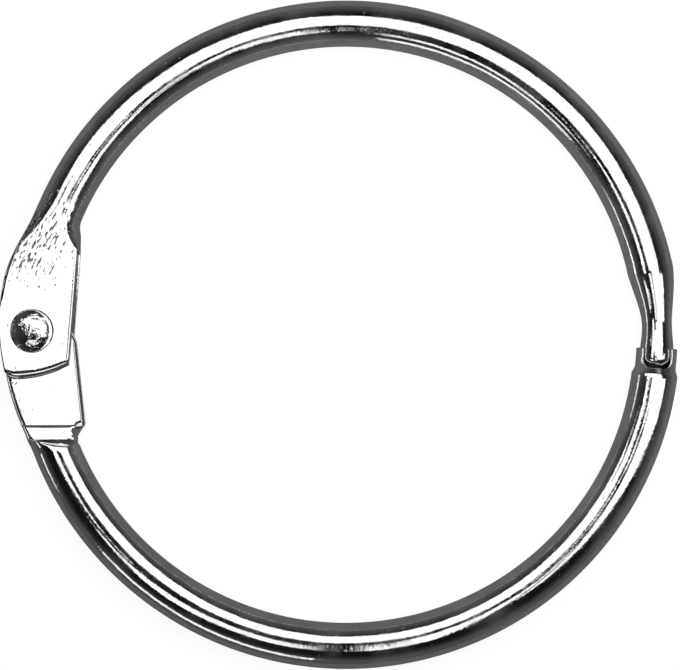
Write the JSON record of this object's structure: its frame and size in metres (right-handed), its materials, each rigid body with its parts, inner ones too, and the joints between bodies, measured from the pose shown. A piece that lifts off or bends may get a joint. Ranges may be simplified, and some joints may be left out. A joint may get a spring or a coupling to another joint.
{
  "type": "hinged binder ring",
  "caption": "Hinged loose-leaf ring rolled from sheet tube: it swings open about a riveted fork and tongue, and snaps shut on a necked plug to hold punched sheets.",
  "frame": {"origin": "centre of the ring's eye, midway through the tube's thickness", "axes": "+Z along the ring's axis, +X towards the snap closure, -X towards the hinge, +Y towards the half with the fork and the plug"},
  "size_m": [0.0589, 0.058, 0.005],
  "materials": {
    "ring_nickel": "polished nickel plate on rolled steel sheet",
    "rivet_nickel": "polished nickel plate on a steel rivet"
  },
  "bodies": {
    "upper": {"upper_half": "ring_nickel", "hinge_rivet": "rivet_nickel"},
    "lower": {"lower_half": "ring_nickel"}
  },
  "joints": [
    {"name": "ring_hinge", "type": "hinge", "parent": "upper", "child": "lower", "pos_m": [-0.027, 0.00033, 0], "axis": [0, 0, -1], "range_deg": [0, 110]}
  ]
}
